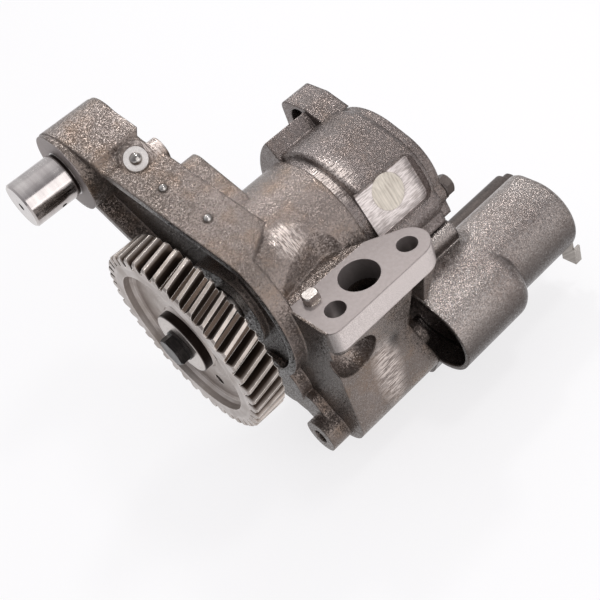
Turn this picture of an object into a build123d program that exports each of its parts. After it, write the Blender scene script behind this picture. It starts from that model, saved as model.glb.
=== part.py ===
from build123d import *
from math import acos, asin, cos, degrees, pi, radians, sin, sqrt, tan
import os

# Engine oil pump: a spur gear pump in two iron castings, driven by a helical gear.
# The front casting carries an arm with a fixed shaft for the idler gear that drives it.
# Millimetres. Every piece is drawn about the drive shaft: X runs rearward from the front
# face of the drive gear, Y and Z are measured from the shaft's centre line. save() then
# moves it so that the origin is the centre of the outlet port, on its flange face.

# The outlet port, seen from the drive shaft
PORT_X = 94.0
PORT_Y = -71.3
FLANGE_Z = 16.0

# Helical drive gear
MODULE = 3.0                   # normal module
TEETH = 42
HELIX = 15.0                   # left hand
PRESSURE_ANGLE = 20.0
GEAR_WIDTH = 24.0
GEAR_RIM_R = 53.0              # inside of the rim, where the dish starts
DISH_DEPTH = 7.5
HUB_R = 22.0
HUB_END = 31.0
WASHER_THICK = 6.0
PULLER_HOLE_R = 4.0
PULLER_PITCH_R = 37.0
GEAR_BOLT_R = 6.0
GEAR_BOLT_HEX = 18.5
GEAR_BOLT_HEAD = 8.5
GEAR_BOLT_LENGTH = 36.0
KEY_WIDTH = 6.0
KEY_HEIGHT = 6.0

# Idler shaft and its arm
ARM_ANGLE = 38.8               # from +Y
IDLER_R = 15.87
IDLER_TIP = -15.0
THRUST_FACE = 20.0
BOSS_R = 28.5
BOSS_END = 63.0
FRONT_R = 60.0                 # round rim about the drive shaft
RIM_FRONT = 38.0
ARM_ROOT_FRONT = 40.0
ARM_LEAN = 0.111               # the arm slants forward as it goes out
ARM_THICK = 37.5
ARM_STEP = 3.7                 # the arm is thinner than its boss
BOSS_ROOT = 115.0              # how far out the boss's full thickness starts
GROOVE_R = 9.0                 # hollow between the boss and the plug's ridge
GROOVE_OUT = 108.5
GROOVE_DEPTH = 3.0
RIDGE_R = 8.5
RIDGE_OUT = 95.0
RIDGE_PROUD = 2.5
ARM_WALL = 6.0
POCKET_FLOOR = 57.0

# Castings along the shaft
BLOCK_FRONT = 50.0             # front of the outlet side wall
CHAMBER_FRONT = 66.0
CHAMBER_WALL = 4.5
JOINT = 122.0                  # front casting meets rear casting
REAR_END = 179.0               # rear casting meets its cover
COVER_THICK = 7.0
BODY_WALL = 10.44              # round the pump gears
REAR_WALL = 12.44
NECK_WALL = 7.44               # rear casting's neck behind the joint
NECK_LENGTH = 8.0

# Pump gears and their shafts
PUMP_MODULE = 5.5
PUMP_TEETH = 12
PUMP_PRESSURE_ANGLE = 25.0
PUMP_ANGLE = 252.0             # driven shaft about the drive shaft, from +Y
TIP_GAP = 0.06
END_GAP = 0.04
BACKLASH = 0.2
JOURNAL_R = 12.5
GEAR_SEAT_R = 11.0
RUNNING_GAP = 0.03
BUSH_WALL = 3.5
BUSH_LENGTH = 22.0
PRESS_GAP = 0.01

# Outlet flange
FLANGE_THICK = 16.0
PORT_R = 13.25
PORT_DEPTH = 36.0
PASSAGE_R = 11.0
PASSAGE_DEPTH = 56.0
BOLT_SPACING = 61.0
BOLT_MID_X = 3.5               # middle of the two bolt holes, from the port
BOLT_MID_Y = -7.3
BOLT_HOLE_R = 6.75
PIN_R = 5.5
PIN_AT = (-29.5, 10.5)
PIN_OUT = 5.5
PIN_DEEP = 9.0

# Outlet side of the front casting
SIDE_Y = -84.0
SIDE_BOTTOM = -102.0
SIDE_CORNER_R = 25.0
HOLLOW_R = 16.0                # cast hollow under the near end of the flange
NOTCH_FRONT = 108.0            # wedge left open at the rear edge of the side wall
NOTCH_TURN = -35.0
NOTCH_Y = -65.0
NOTCH_BOTTOM = -84.0
NOTCH_BOSS = (-75.0, -57.0)
RELIEF_UNDER = 26.0            # neck cut away above the relief valve housing

# Suction flange under the rear casting
SUCTION_X = 153.0
SUCTION_Y = -14.0
SUCTION_FACE = -120.0
SUCTION_THICK = 14.0
SUCTION_R = 15.0
SUCTION_DEPTH = 30.0
INLET_R = 12.0
INLET_X = 159.0
INLET_TOP = -32.0
SUCTION_LONG = 104.0
SUCTION_WIDE = 50.0
SUCTION_BOLTS = 76.0
SUCTION_THREAD_R = 4.25
SUCTION_THREAD_DEPTH = 14.0

# Mounting ears
SEGMENT_PROUD = 12.0           # thick part of the rear casting in front of its ear
SEGMENT_END = 168.0
EAR_AT = (48.0, 38.0)
EAR_HOLE_R = 5.5
EAR_FRONT = 164.0
EAR_SEAT_DEPTH = 12.0
LUG_AT = (-54.0, -94.0)
LUG_R = 12.5
LUG_FRONT = 35.0
LUG_HOLE_R = 5.5

# Milled pad on the rear casting, with a flush plug
PAD_FACING = 155.0             # from +Y
PAD_AWAY = 47.4
PAD_X = (118.0, 175.0)
PAD_HALF = 16.5
PAD_PLUG_R = 12.0
PAD_PLUG_AT = (152.0, 3.0)

# Relief valve
RELIEF_AT = (-72.0, -60.0)
RELIEF_R = 30.0
RELIEF_BORE_R = 24.0
RELIEF_FRONT = 124.0
RELIEF_FOOT_FRONT = 135.0
MOUTH_DEPTH = 15.0
RIM_WALL = 3.0
RELIEF_END = 248.0
RELIEF_JOINT_Y = -50.0
RELIEF_PORT_R = 8.0
PLUNGER_FRONT = 152.0
PLUNGER_LENGTH = 30.0
PLUNGER_GAP = 0.05
PLUNGER_WALL = 4.0
RELIEF_TRAVEL = 14.0
SPRING_WIRE = 3.2
SPRING_R = 15.5
SPRING_TURNS = 6.5
SEAT_THICK = 10.0
SEAT_INSET = 6.0               # retaining ring, from the end of the housing
RING_WIRE = 1.5

# Pilot valve
PILOT_AT = (-27.5, -67.0)
PILOT_R = 10.0
PILOT_END = 261.0
PILOT_BORE_R = 6.0
PILOT_TRAVEL = 5.0

FIT = 0.3                      # air between castings' round surfaces

# Screws: radius, across flats, head height
M8 = (4.0, 13.0, 8.0)
M10 = (5.0, 16.0, 10.0)
JOINT_EAR = 14.0
JOINT_BOLT_LENGTH = 34.0
JOINT_BOLTS = ((54.2, -17.6), (33.0, -83.0), (14.0, -102.0))
DOWEL_R = 4.0
DOWELS = ((43.1, -51.9), (-46.0, -22.0))
DOWEL_HALF = 9.0
COVER_BOLT_LENGTH = 15.0
RELIEF_LUG = (-64.0, -96.0)
RELIEF_LUG_THICK = 14.0
RELIEF_FOOT_END = 179.0
RELIEF_FOOT_BOLTS_X = (155.0, 171.0)
RELIEF_FOOT_BOLT_Z = -98.0

# Plugs in the arm
PLUG_AT = (48.2, 51.1, 92.1)
PLUG_FACING = (-0.29, -0.80, 0.53)
RIDGE_END = 67.0
PLUG_RING_R = 7.6
PLUG_BALL_R = 4.5
ARM_BALLS = ((46.8, 28.5, 79.5), (51.5, -2.4, 65.1))
ARM_BALL_R = 2.9


def polar(r, a, at=(0, 0)):
    return at[0] + r * cos(radians(a)), at[1] + r * sin(radians(a))


PITCH_R = MODULE * TEETH / cos(radians(HELIX)) / 2
GEAR_R = PITCH_R + MODULE
IDLER = polar(2 * PITCH_R, ARM_ANGLE)
CENTRE_DISTANCE = PUMP_MODULE * PUMP_TEETH
DRIVEN = polar(CENTRE_DISTANCE, PUMP_ANGLE)
PUMP_TIP_R = CENTRE_DISTANCE / 2 + PUMP_MODULE
CHAMBER_R = PUMP_TIP_R + TIP_GAP
BODY_R = CHAMBER_R + BODY_WALL
REAR_R = CHAMBER_R + REAR_WALL
NECK_R = CHAMBER_R + NECK_WALL
SEGMENT_R = REAR_R + SEGMENT_PROUD
BUSH_R = JOURNAL_R + RUNNING_GAP + BUSH_WALL
COVER_END = REAR_END + COVER_THICK
COVER_BOLTS = ((-47.0, -1.0), polar(41, 25), polar(41, -25),
               polar(39, -15, DRIVEN), polar(39, -60, DRIVEN), polar(39, 258, DRIVEN))
ARM_FACE_TILT = 90 - 65        # the arm's near face leans towards the outlet
PLUG_BALL_PLACE = Plane(PLUG_AT, z_dir=PLUG_FACING).location * Pos(0, 0, -2.2)
RELIEF_PORT_X = 166.0
GALLERY_AT = (-40.0, -42.0)
INLET_AT = (6.0, -36.0)
SEAT_END = RELIEF_END - SEAT_INSET
SEAT_FRONT = SEAT_END - SEAT_THICK
RING_PLACES = (PLUNGER_FRONT - RING_WIRE, SEAT_END)
PILOT_STOP = COVER_END + 4
ARM_PLANE = Plane((0, 0, 0), x_dir=(0, *polar(1, ARM_ANGLE)), z_dir=(0, *polar(1, ARM_ANGLE - 90)))


def rod(x0, x1, r, at=(0, 0)):
    # cylinder along X
    body = Cylinder(r, x1 - x0, align=(Align.CENTER, Align.CENTER, Align.MIN))
    return Pos(x0, at[0], at[1]) * Rot(0, 90, 0) * body


def slab(x0, x1, sketch):
    # a profile in Y and Z, given thickness along X
    return extrude(Plane.YZ.offset(x0) * sketch, x1 - x0)


def disc(at, r):
    return Pos(at[0], at[1]) * Circle(r)


def belt(*discs):
    # round discs and the straight sides that join them
    return make_hull([edge for d in discs for edge in d.edges()])


def turned(points, at=(0, 0)):
    # a profile of (x, radius) points swept round an axis along X
    return Pos(0, at[0], at[1]) * revolve(Polygon(*points, align=None), Axis.X)


def rect(y0, y1, z0, z1):
    return Pos((y0 + y1) / 2, (z0 + z1) / 2) * Rectangle(y1 - y0, z1 - z0)


def block(x0, x1, y0, y1, z0, z1):
    return slab(x0, x1, rect(y0, y1, z0, z1))


def round_ends(body, x, r):
    # round the edges that lie in the plane at x
    return fillet(body.edges().filter_by_position(Axis.X, x - 0.01, x + 0.01), r)


def hex_rod(x0, x1, across, at=(0, 0)):
    return slab(x0, x1, Pos(at[0], at[1]) * RegularPolygon(across / 2, 6, major_radius=False))


def screw(size, length, place):
    # flanged hexagon screw; place is under its head, facing the way the head stands
    r, across, head = size
    shank = Cylinder(r, length, align=(Align.CENTER, Align.CENTER, Align.MAX))
    flange = Cylinder(across * 0.6, head * 0.2, align=(Align.CENTER, Align.CENTER, Align.MIN))
    hexagon = extrude(RegularPolygon(across / 2, 6, major_radius=False), head)
    crown = Cylinder(across * 0.6, head, align=(Align.CENTER, Align.CENTER, Align.MIN))
    crown = chamfer(crown.faces().sort_by(Axis.Z)[-1].edges(), across * 0.09)
    return place * (shank + flange + (hexagon & crown))


def facing_rear(x, at):
    return Pos(x, at[0], at[1]) * Rot(0, 90, 0)


def facing_front(x, at):
    return Pos(x, at[0], at[1]) * Rot(0, -90, 0)


def group(parts):
    # loose solids that make one node
    return Compound([solid for part in parts for solid in part.solids()])


def gear_face(teeth, pitch_r, tip_r, root_r, pressure_angle, backlash, turn):
    # involute teeth; each flank is an arc through three points of its involute
    base_r = pitch_r * cos(radians(pressure_angle))

    def involute(r):
        return tan(acos(base_r / r)) - acos(base_r / r)

    half = pi / (2 * teeth) - backlash / (2 * pitch_r) + involute(pitch_r)

    def flank(r, middle, side):
        return polar(r, middle + side * degrees(half - involute(max(r, base_r))))

    form_r = max(root_r, base_r + 0.3)
    mid_r = (form_r + tip_r) / 2
    step = 360 / teeth
    edges = []
    for i in range(teeth):
        at = turn + i * step
        low, up = flank(form_r, at, -1), flank(tip_r, at, -1)
        down, end = flank(tip_r, at, 1), flank(form_r, at, 1)
        edges += ThreePointArc(low, flank(mid_r, at, -1), up).edges()
        edges += ThreePointArc(up, polar(tip_r, at), down).edges()
        edges += ThreePointArc(down, flank(mid_r, at, 1), end).edges()
        next_low = flank(form_r, at + step, -1)
        edges += ThreePointArc(end, polar(root_r, at + step / 2), next_low).edges()
    return make_face(edges)


def drive_gear():
    transverse = PRESSURE_ANGLE / cos(radians(HELIX))
    teeth = gear_face(TEETH, PITCH_R, GEAR_R, PITCH_R - 1.25 * MODULE, transverse, BACKLASH, 0)
    twist = degrees(GEAR_WIDTH * tan(radians(HELIX)) / PITCH_R)
    outline = (Plane.YZ * teeth).face()
    body = Solid.extrude_linear_with_rotation(outline, (0, 0, 0), (GEAR_WIDTH, 0, 0), -twist)
    for face, way in ((0, 1), (GEAR_WIDTH, -1)):
        # tooth tips are bevelled, and the web is dished between rim and hub
        body -= turned([(face - way, GEAR_R - 2.5), (face - way, GEAR_R + 2), (face + way * 3.5, GEAR_R + 2)])
        rim, floor, hub = GEAR_RIM_R, face + way * DISH_DEPTH, HUB_R
        body -= turned([(face - way, rim + 0.5), (floor - way * 3, rim), (floor - way, rim - 1),
                        (floor, rim - 3), (floor, hub + 2), (floor - way * 2, hub), (face - way, hub)])
    body += rod(GEAR_WIDTH / 2, HUB_END, HUB_R)
    body -= rod(-1, WASHER_THICK, HUB_R + 1)
    body -= rod(-1, HUB_END + 1, GEAR_SEAT_R)
    body -= key_slot()
    for side in (74, 254):
        body -= rod(-1, GEAR_WIDTH + 1, PULLER_HOLE_R, polar(PULLER_PITCH_R, side))
    return body


def key_slot():
    half = KEY_WIDTH / 2
    return block(WASHER_THICK + 1, HUB_END, -half, half, 0, GEAR_SEAT_R + KEY_HEIGHT / 2)


def drive_key():
    half = KEY_WIDTH / 2
    low, high = GEAR_SEAT_R - KEY_HEIGHT / 2, GEAR_SEAT_R + KEY_HEIGHT / 2
    return block(WASHER_THICK + 2, HUB_END, -half, half, low, high)


def drive_gear_washer():
    ring = rod(0, WASHER_THICK, HUB_R) - rod(0, WASHER_THICK, GEAR_BOLT_R)
    return chamfer(ring.faces().sort_by(Axis.X)[0].edges().sort_by(SortBy.RADIUS)[-1], 0.8)


def drive_gear_bolt():
    return screw((GEAR_BOLT_R, GEAR_BOLT_HEX, GEAR_BOLT_HEAD), GEAR_BOLT_LENGTH - 2, facing_front(0, (0, 0)))


def shaft(front, end):
    # ground journals, with the pump gear's seat between them
    body = rod(front, CHAMBER_FRONT, JOURNAL_R) + rod(CHAMBER_FRONT, end, JOURNAL_R)
    return chamfer(body.faces().sort_by(Axis.X)[-1].edges(), 1.0)


def drive_shaft():
    body = rod(WASHER_THICK, HUB_END, GEAR_SEAT_R) + shaft(HUB_END, JOINT + BUSH_LENGTH)
    body -= rod(WASHER_THICK, GEAR_BOLT_LENGTH, GEAR_BOLT_R)
    half = KEY_WIDTH / 2
    return body - block(WASHER_THICK + 2, HUB_END, -half, half, GEAR_SEAT_R - KEY_HEIGHT / 2, GEAR_SEAT_R + 1)


def driven_shaft():
    body = rod(CHAMBER_FRONT - BUSH_LENGTH, JOINT + BUSH_LENGTH, JOURNAL_R, DRIVEN)
    return chamfer(body.faces().filter_by(Axis.X).edges(), 1.0)


def pump_gear(at, turn):
    root_r = CENTRE_DISTANCE / 2 - 1.25 * PUMP_MODULE
    teeth = gear_face(PUMP_TEETH, CENTRE_DISTANCE / 2, PUMP_TIP_R, root_r, PUMP_PRESSURE_ANGLE, BACKLASH, turn)
    front, end = CHAMBER_FRONT + END_GAP, JOINT - END_GAP
    return Pos(0, at[0], at[1]) * slab(front, end, teeth) - rod(front, end, JOURNAL_R, at)


def bushes(x):
    # one bush for each shaft
    rings = [rod(x, x + BUSH_LENGTH, BUSH_R - PRESS_GAP, at) - rod(x, x + BUSH_LENGTH, JOURNAL_R + RUNNING_GAP, at)
             for at in ((0, 0), DRIVEN)]
    return group(rings)


def idler_shaft():
    # pressed in the arm; drilled from its end to feed the idler's bush
    body = rod(IDLER_TIP, BOSS_END - 5, IDLER_R, IDLER)
    body = chamfer(body.faces().filter_by(Axis.X).edges(), 1.2)
    body -= turned([(THRUST_FACE - 3, IDLER_R - 0.8), (THRUST_FACE - 3, IDLER_R + 1),
                    (THRUST_FACE, IDLER_R + 1), (THRUST_FACE, IDLER_R - 0.8)], IDLER)
    body -= rod(IDLER_TIP, IDLER_TIP + 9, 2.6, IDLER)
    body -= rod(4, BOSS_END, 2.5, IDLER)
    oil = Cylinder(1.8, IDLER_R + 2, align=(Align.CENTER, Align.CENTER, Align.MIN))
    return body - Pos(6, IDLER[0], IDLER[1]) * Rot(130, 0, 0) * oil


def flange_outline():
    # seen from above; a rounded corner each side of the pin, and an ear round the far bolt
    ear = Pos(BOLT_MID_X + BOLT_SPACING / 2, BOLT_MID_Y) * Circle(14.3)
    crown = Pos(-3, 12) * Circle(18)
    heel = Pos(-35, 16) * Circle(9)
    toe = Pos(-35.5, -12.5) * Circle(9)
    return belt(ear, crown, heel, toe)


def at_port(sketch, z):
    return Pos(PORT_X, PORT_Y, z) * sketch


def bolt_holes(depth):
    holes = [Pos(BOLT_MID_X + side * BOLT_SPACING / 2, BOLT_MID_Y) * Circle(BOLT_HOLE_R) for side in (-1, 1)]
    return extrude(at_port(holes[0] + holes[1], FLANGE_Z), -depth)


def arm_blank(grow, front, end, low_end):
    # the outline round both shafts; its faces lean forward along the arm, and the round rim
    # below the drive shaft is thin
    outline = belt(disc((0, 0), FRONT_R + grow), disc(IDLER, BOSS_R + grow))
    reach = 2 * PITCH_R + BOSS_R
    lean = ARM_LEAN * reach
    side = Polygon((-FRONT_R, front), (0, front), (reach, front - lean), (reach, end - lean),
                   (BOSS_ROOT, end - ARM_LEAN * BOSS_ROOT),
                   (BOSS_ROOT - 4, end - ARM_STEP - ARM_LEAN * (BOSS_ROOT - 4)),
                   (14, end - ARM_STEP), (2, low_end), (-FRONT_R, low_end), align=None)
    return slab(0, JOINT, outline) & extrude(ARM_PLANE * side, 2 * FRONT_R, both=True)


def front_housing():
    body = arm_blank(0, ARM_ROOT_FRONT, ARM_ROOT_FRONT + ARM_THICK, BLOCK_FRONT + 2)
    boss = rod(THRUST_FACE, BOSS_END, BOSS_R - 0.6, IDLER)
    pocket = arm_blank(-ARM_WALL, 0, POCKET_FLOOR, BLOCK_FRONT - 5)
    body -= pocket - boss - rod(0, JOINT, 32)
    body += boss
    body += slab(BLOCK_FRONT, JOINT, belt(disc((0, 0), BODY_R), disc(DRIVEN, BODY_R)))
    body += rod(CHAMBER_FRONT - BUSH_LENGTH - 3, BLOCK_FRONT + 1, BUSH_R + 5, DRIVEN)
    body -= flange_clearance()
    body += outlet_side()
    body += slab(60, 86, belt(disc((51, 52), 14), disc((18, 38), 16)))
    body += rod(LUG_FRONT, BLOCK_FRONT + 1, LUG_R, LUG_AT)
    body += slab(LUG_FRONT + 8, BLOCK_FRONT + 1, belt(disc(LUG_AT, LUG_R - 2), disc((-40, -80), 12)))
    body -= rod(THRUST_FACE + 8, JOINT, GROOVE_R, beside_arm(GROOVE_OUT, GROOVE_R - GROOVE_DEPTH))
    body += plug_ridge()
    body += joint_ears(JOINT - 24, JOINT)
    return body - front_bores()


def outlet_side():
    # boxy passage wall beside the pump gears, with the neck and flange of the outlet on top
    corner = SIDE_CORNER_R
    profile = rect(SIDE_Y, -10, SIDE_BOTTOM, FLANGE_Z - FLANGE_THICK)
    profile = fillet(profile.vertices().sort_by(Axis.X)[:2].sort_by(Axis.Y)[0], corner)
    wall = slab(BLOCK_FRONT, JOINT, profile)
    flange = extrude(at_port(flange_outline(), FLANGE_Z), -FLANGE_THICK)
    under = FLANGE_Z - FLANGE_THICK
    neck = loft([at_port(flange_outline(), under).face(), at_port(Rectangle(58, 25), under - 34).face()])
    near_bolt = Pos(PORT_X + BOLT_MID_X - BOLT_SPACING / 2, PORT_Y + BOLT_MID_Y, under - 9)
    hollow = near_bolt * Pos(-3, -8, -9) * Sphere(HOLLOW_R)
    wedge = Polygon((NOTCH_FRONT + 4, under - 0.5), (NOTCH_FRONT, NOTCH_TURN), (JOINT + 1, NOTCH_BOTTOM),
                    (JOINT + 1, under - 0.5), align=None)
    notch = extrude(Plane.XZ.offset(-NOTCH_Y) * wedge, NOTCH_Y - SIDE_Y + 10)
    notch_boss = rod(NOTCH_FRONT, JOINT - 2, 9, NOTCH_BOSS)
    neck -= block(JOINT, JOINT + 30, SIDE_Y - 10, 0, under - 40, under - RELIEF_UNDER)
    return wall + neck - hollow - notch + flange + notch_boss


def flange_clearance():
    # the casting is hollowed behind the flange, where the pipe's own flange goes on
    room = extrude(at_port(offset(flange_outline(), 0.5), FLANGE_Z), 24, taper=-17)
    room &= block(BLOCK_FRONT + 2.2, JOINT + 1, -150, 0, 0, 60)
    return room - rod(0, JOINT + 2, CHAMBER_R + CHAMBER_WALL)


def beside_arm(out, away):
    # a point in Y and Z, this far out along the arm and this far from its near side
    edge = FRONT_R + (BOSS_R - FRONT_R) * out / (2 * PITCH_R)
    return polar(edge * 1.03 + away, ARM_ANGLE + 90, polar(out, ARM_ANGLE))


def plug_ridge():
    # round boss about the plug, carried on as a ridge to the arm's rear edge
    ridge = rod(PLUG_AT[0] + 2, RIDGE_END, RIDGE_R, beside_arm(RIDGE_OUT, RIDGE_PROUD - RIDGE_R))
    return plug_hole(PLUG_RING_R + 3.5, 14) + ridge


def plug_face():
    # spot face round the plug, so that its ring is clear all round
    face = Cylinder(PLUG_RING_R + 1.2, 14, align=(Align.CENTER, Align.CENTER, Align.MIN))
    return Plane(PLUG_AT, z_dir=PLUG_FACING).location * face


def plug_hole(r, depth):
    # from the plug's outer face, down into the arm
    hole = Cylinder(r, depth, align=(Align.CENTER, Align.CENTER, Align.MAX))
    return Plane(PLUG_AT, z_dir=PLUG_FACING).location * hole


def joint_ears(x0, x1):
    # ears on the hidden side, where the two castings are bolted and dowelled together
    body = rod(x0, x1, 9, DOWELS[0])
    for at in JOINT_BOLTS:
        inner = (at[0] - 12, at[1] + 5)
        body += slab(x0, x1, belt(disc(at, 9), disc(inner, 13)))
    return body


def front_bores():
    cut = rod(CHAMBER_FRONT, JOINT + 1, CHAMBER_R) + rod(CHAMBER_FRONT, JOINT + 1, CHAMBER_R, DRIVEN)
    cut += rod(0, CHAMBER_FRONT, BUSH_R)
    cut += rod(CHAMBER_FRONT - BUSH_LENGTH, CHAMBER_FRONT, BUSH_R, DRIVEN)
    cut += rod(THRUST_FACE - 1, BOSS_END + 1, IDLER_R, IDLER)
    cut += extrude(at_port(Circle(PORT_R), FLANGE_Z + 1), -PORT_DEPTH - 1)
    cut += bolt_holes(FLANGE_THICK + 6)
    cut += extrude(at_port(Circle(PASSAGE_R), FLANGE_Z), -PASSAGE_DEPTH)
    cut += Pos(PORT_X, PORT_Y, FLANGE_Z - PASSAGE_DEPTH + PASSAGE_R) * Rot(-90, 0, 0) * Cylinder(
        PASSAGE_R - 1, 44, align=(Align.CENTER, Align.CENTER, Align.MIN))
    cut += rod(0, BLOCK_FRONT + 1, LUG_HOLE_R, LUG_AT)
    cut += plug_face() + plug_hole(PLUG_RING_R, 5) + plug_hole(PLUG_BALL_R + 0.1, 7) + plug_hole(3, 30)
    cut += pin_place() * Cylinder(PIN_R, PIN_DEEP + 1, align=(Align.CENTER, Align.CENTER, Align.MIN))
    for at in ARM_BALLS:
        cut += Pos(*at) * Rot(ARM_FACE_TILT, 0, 0) * Cylinder(ARM_BALL_R, 24)
    for at in JOINT_BOLTS:
        cut += rod(JOINT + JOINT_EAR - JOINT_BOLT_LENGTH - 2, JOINT + 1, M8[0], at)
    cut += rod(JOINT - 18, JOINT + 1, M8[0], RELIEF_LUG)
    for at in DOWELS:
        cut += rod(JOINT - DOWEL_HALF, JOINT + 1, DOWEL_R, at)
    return cut


def arm_plug_ring():
    return plug_hole(PLUG_RING_R, 5) - plug_hole(PLUG_BALL_R - 0.6, 5) - PLUG_BALL_PLACE * Sphere(PLUG_BALL_R)


def arm_plug_ball():
    return PLUG_BALL_PLACE * Sphere(PLUG_BALL_R)


def arm_ball_plugs():
    sink = Pos(0, 0, -0.6)
    return group(Pos(*at) * Rot(ARM_FACE_TILT, 0, 0) * sink * Sphere(ARM_BALL_R) for at in ARM_BALLS)


def pin_place():
    return Pos(PORT_X + PIN_AT[0], PORT_Y + PIN_AT[1], FLANGE_Z - PIN_DEEP)


def flange_pin():
    pin = Cylinder(PIN_R, PIN_OUT + PIN_DEEP, align=(Align.CENTER, Align.CENTER, Align.MIN))
    pin = chamfer(pin.faces().sort_by(Axis.Z)[-1].edges(), 0.8)
    flat = Pos(0, 0, PIN_DEEP) * Box(2 * PIN_R, 2 * PIN_R, PIN_OUT + 1, align=(Align.CENTER, Align.CENTER, Align.MIN))
    flats = Pos(0, 1.7 * PIN_R, 0) * flat + Pos(0, -1.7 * PIN_R, 0) * flat
    return pin_place() * (pin - flats)


def rear_outline():
    # round the drive shaft, swelling towards the pad and the bolt below it
    swell = belt(disc((0, 0), REAR_R), disc(polar(20, PAD_FACING), 36))
    bolt_boss = belt(disc((0, 0), 30), disc(COVER_BOLTS[0], 11))
    return swell + bolt_boss + belt(disc((0, 0), REAR_R), disc(DRIVEN, BODY_R))


def rear_housing():
    body = round_ends(slab(JOINT + NECK_LENGTH, REAR_END, rear_outline()), REAR_END, 4)
    body = round_ends(body, JOINT + NECK_LENGTH, 3)
    body += slab(JOINT, JOINT + NECK_LENGTH, belt(disc((0, 0), NECK_R), disc(DRIVEN, NECK_R)))
    body += rod(JOINT, JOINT + DOWEL_HALF + 5, 9, DOWELS[1])
    body -= block(JOINT - 1, REAR_END + 1, -150, RELIEF_JOINT_Y, -130, -16)
    segment = Polygon((0, 0), polar(90, -5), polar(90, 50), align=None)
    body += round_ends(slab(JOINT + 6, SEGMENT_END, disc((0, 0), SEGMENT_R) & segment), SEGMENT_END, 6)
    body += joint_ears(JOINT, JOINT + JOINT_EAR)
    ear_y, ear_z = EAR_AT
    ear = Polygon((ear_y - 28, 4), (ear_y + 18, 4), (ear_y + 18, ear_z + 12), (ear_y - 8, ear_z + 12),
                  (ear_y - 28, ear_z + 5), align=None)
    ear = fillet(ear.vertices().sort_by(Axis.X)[-2:], 7)
    body += slab(EAR_FRONT, COVER_END, ear)
    body -= cover_seat(-2.5)
    body += suction_flange()
    body -= pad_pocket()
    body -= rod(RELIEF_FRONT - 1, REAR_END + 1, RELIEF_R + FIT, RELIEF_AT)
    return body - rear_bores()


def suction_flange():
    # oval flange and its neck
    half = SUCTION_LONG / 2 - 18
    ends = belt(*[Pos(SUCTION_X, SUCTION_Y + side * half) * Circle(18) for side in (-1, 1)],
                Pos(SUCTION_X, SUCTION_Y) * Circle(SUCTION_WIDE / 2))
    flange = extrude(Pos(0, 0, SUCTION_FACE) * ends, SUCTION_THICK)
    neck = Cylinder(SUCTION_R + 6, 40, align=(Align.CENTER, Align.CENTER, Align.MIN))
    return flange + Pos(SUCTION_X, SUCTION_Y, SUCTION_FACE) * neck


def pad_place(along, up, out):
    y, z = polar(PAD_AWAY + out, PAD_FACING)
    back = polar(up, PAD_FACING - 90)
    return Pos(along, y + back[0], z + back[1]) * Rot(PAD_FACING - 90, 0, 0)


def pad_pocket():
    long = PAD_X[1] - PAD_X[0]
    floor = fillet(Rectangle(long, 2 * PAD_HALF).vertices(), 5)
    return pad_place((PAD_X[0] + PAD_X[1]) / 2, 0, 0) * extrude(floor, 30)


def pad_plug():
    plug = Cylinder(PAD_PLUG_R, 10, align=(Align.CENTER, Align.CENTER, Align.MAX))
    return pad_place(*PAD_PLUG_AT, 0) * plug


def rear_bores():
    cut = rod(JOINT - 1, JOINT + BUSH_LENGTH, BUSH_R) + rod(JOINT - 1, JOINT + BUSH_LENGTH, BUSH_R, DRIVEN)
    up = (Align.CENTER, Align.CENTER, Align.MIN)
    cut += Pos(SUCTION_X, SUCTION_Y, SUCTION_FACE - 1) * Cylinder(SUCTION_R, SUCTION_DEPTH + 1, align=up)
    rise = INLET_TOP - SUCTION_FACE - SUCTION_DEPTH + 2
    cut += Pos(INLET_X, SUCTION_Y, INLET_TOP - rise) * Cylinder(INLET_R, rise, align=up)
    for side in (-1, 1):
        hole = Cylinder(SUCTION_THREAD_R, SUCTION_THREAD_DEPTH + 1, align=up)
        cut += Pos(SUCTION_X, SUCTION_Y + side * SUCTION_BOLTS / 2, SUCTION_FACE - 1) * hole
    cut += rod(JOINT - 1, INLET_X, 9, INLET_AT)
    cut += rod(JOINT - 1, RELIEF_PORT_X, 5, GALLERY_AT)
    cut += relief_port(GALLERY_AT[0], RELIEF_JOINT_Y - 1)
    cut += pad_plug()
    cut += rod(EAR_FRONT - 4, COVER_END + 4, EAR_HOLE_R, EAR_AT)
    cut += rod(EAR_FRONT - 4, EAR_FRONT + EAR_SEAT_DEPTH, EAR_HOLE_R + 4, EAR_AT)
    for at in JOINT_BOLTS:
        cut += rod(JOINT - 1, JOINT + JOINT_EAR + 1, M8[0] + 0.2, at)
        cut += rod(JOINT + JOINT_EAR, JOINT + JOINT_EAR + 12, 9, at)
    for at in COVER_BOLTS:
        cut += rod(COVER_END - COVER_BOLT_LENGTH, REAR_END + 1, M8[0], at)
    for at in DOWELS:
        cut += rod(JOINT - 1, JOINT + DOWEL_HALF, DOWEL_R, at)
    for x in RELIEF_FOOT_BOLTS_X:
        cut += foot_hole(x, RELIEF_JOINT_Y + 12)
    return cut


def relief_port(y0, y1):
    hole = Cylinder(RELIEF_PORT_R, y0 - y1, align=(Align.CENTER, Align.CENTER, Align.MIN))
    return Pos(RELIEF_PORT_X, y0, GALLERY_AT[1]) * Rot(90, 0, 0) * hole


def foot_hole(x, y):
    # from y outwards, for a screw in the relief housing's foot
    hole = Cylinder(M8[0], 40, align=(Align.CENTER, Align.CENTER, Align.MIN))
    return Pos(x, y, RELIEF_FOOT_BOLT_Z) * Rot(90, 0, 0) * hole


def cover_seat(inset):
    body = slab(REAR_END, COVER_END, offset(rear_outline(), inset))
    return body - block(REAR_END, COVER_END, -150, RELIEF_JOINT_Y + 8, -130, -16)


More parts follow.
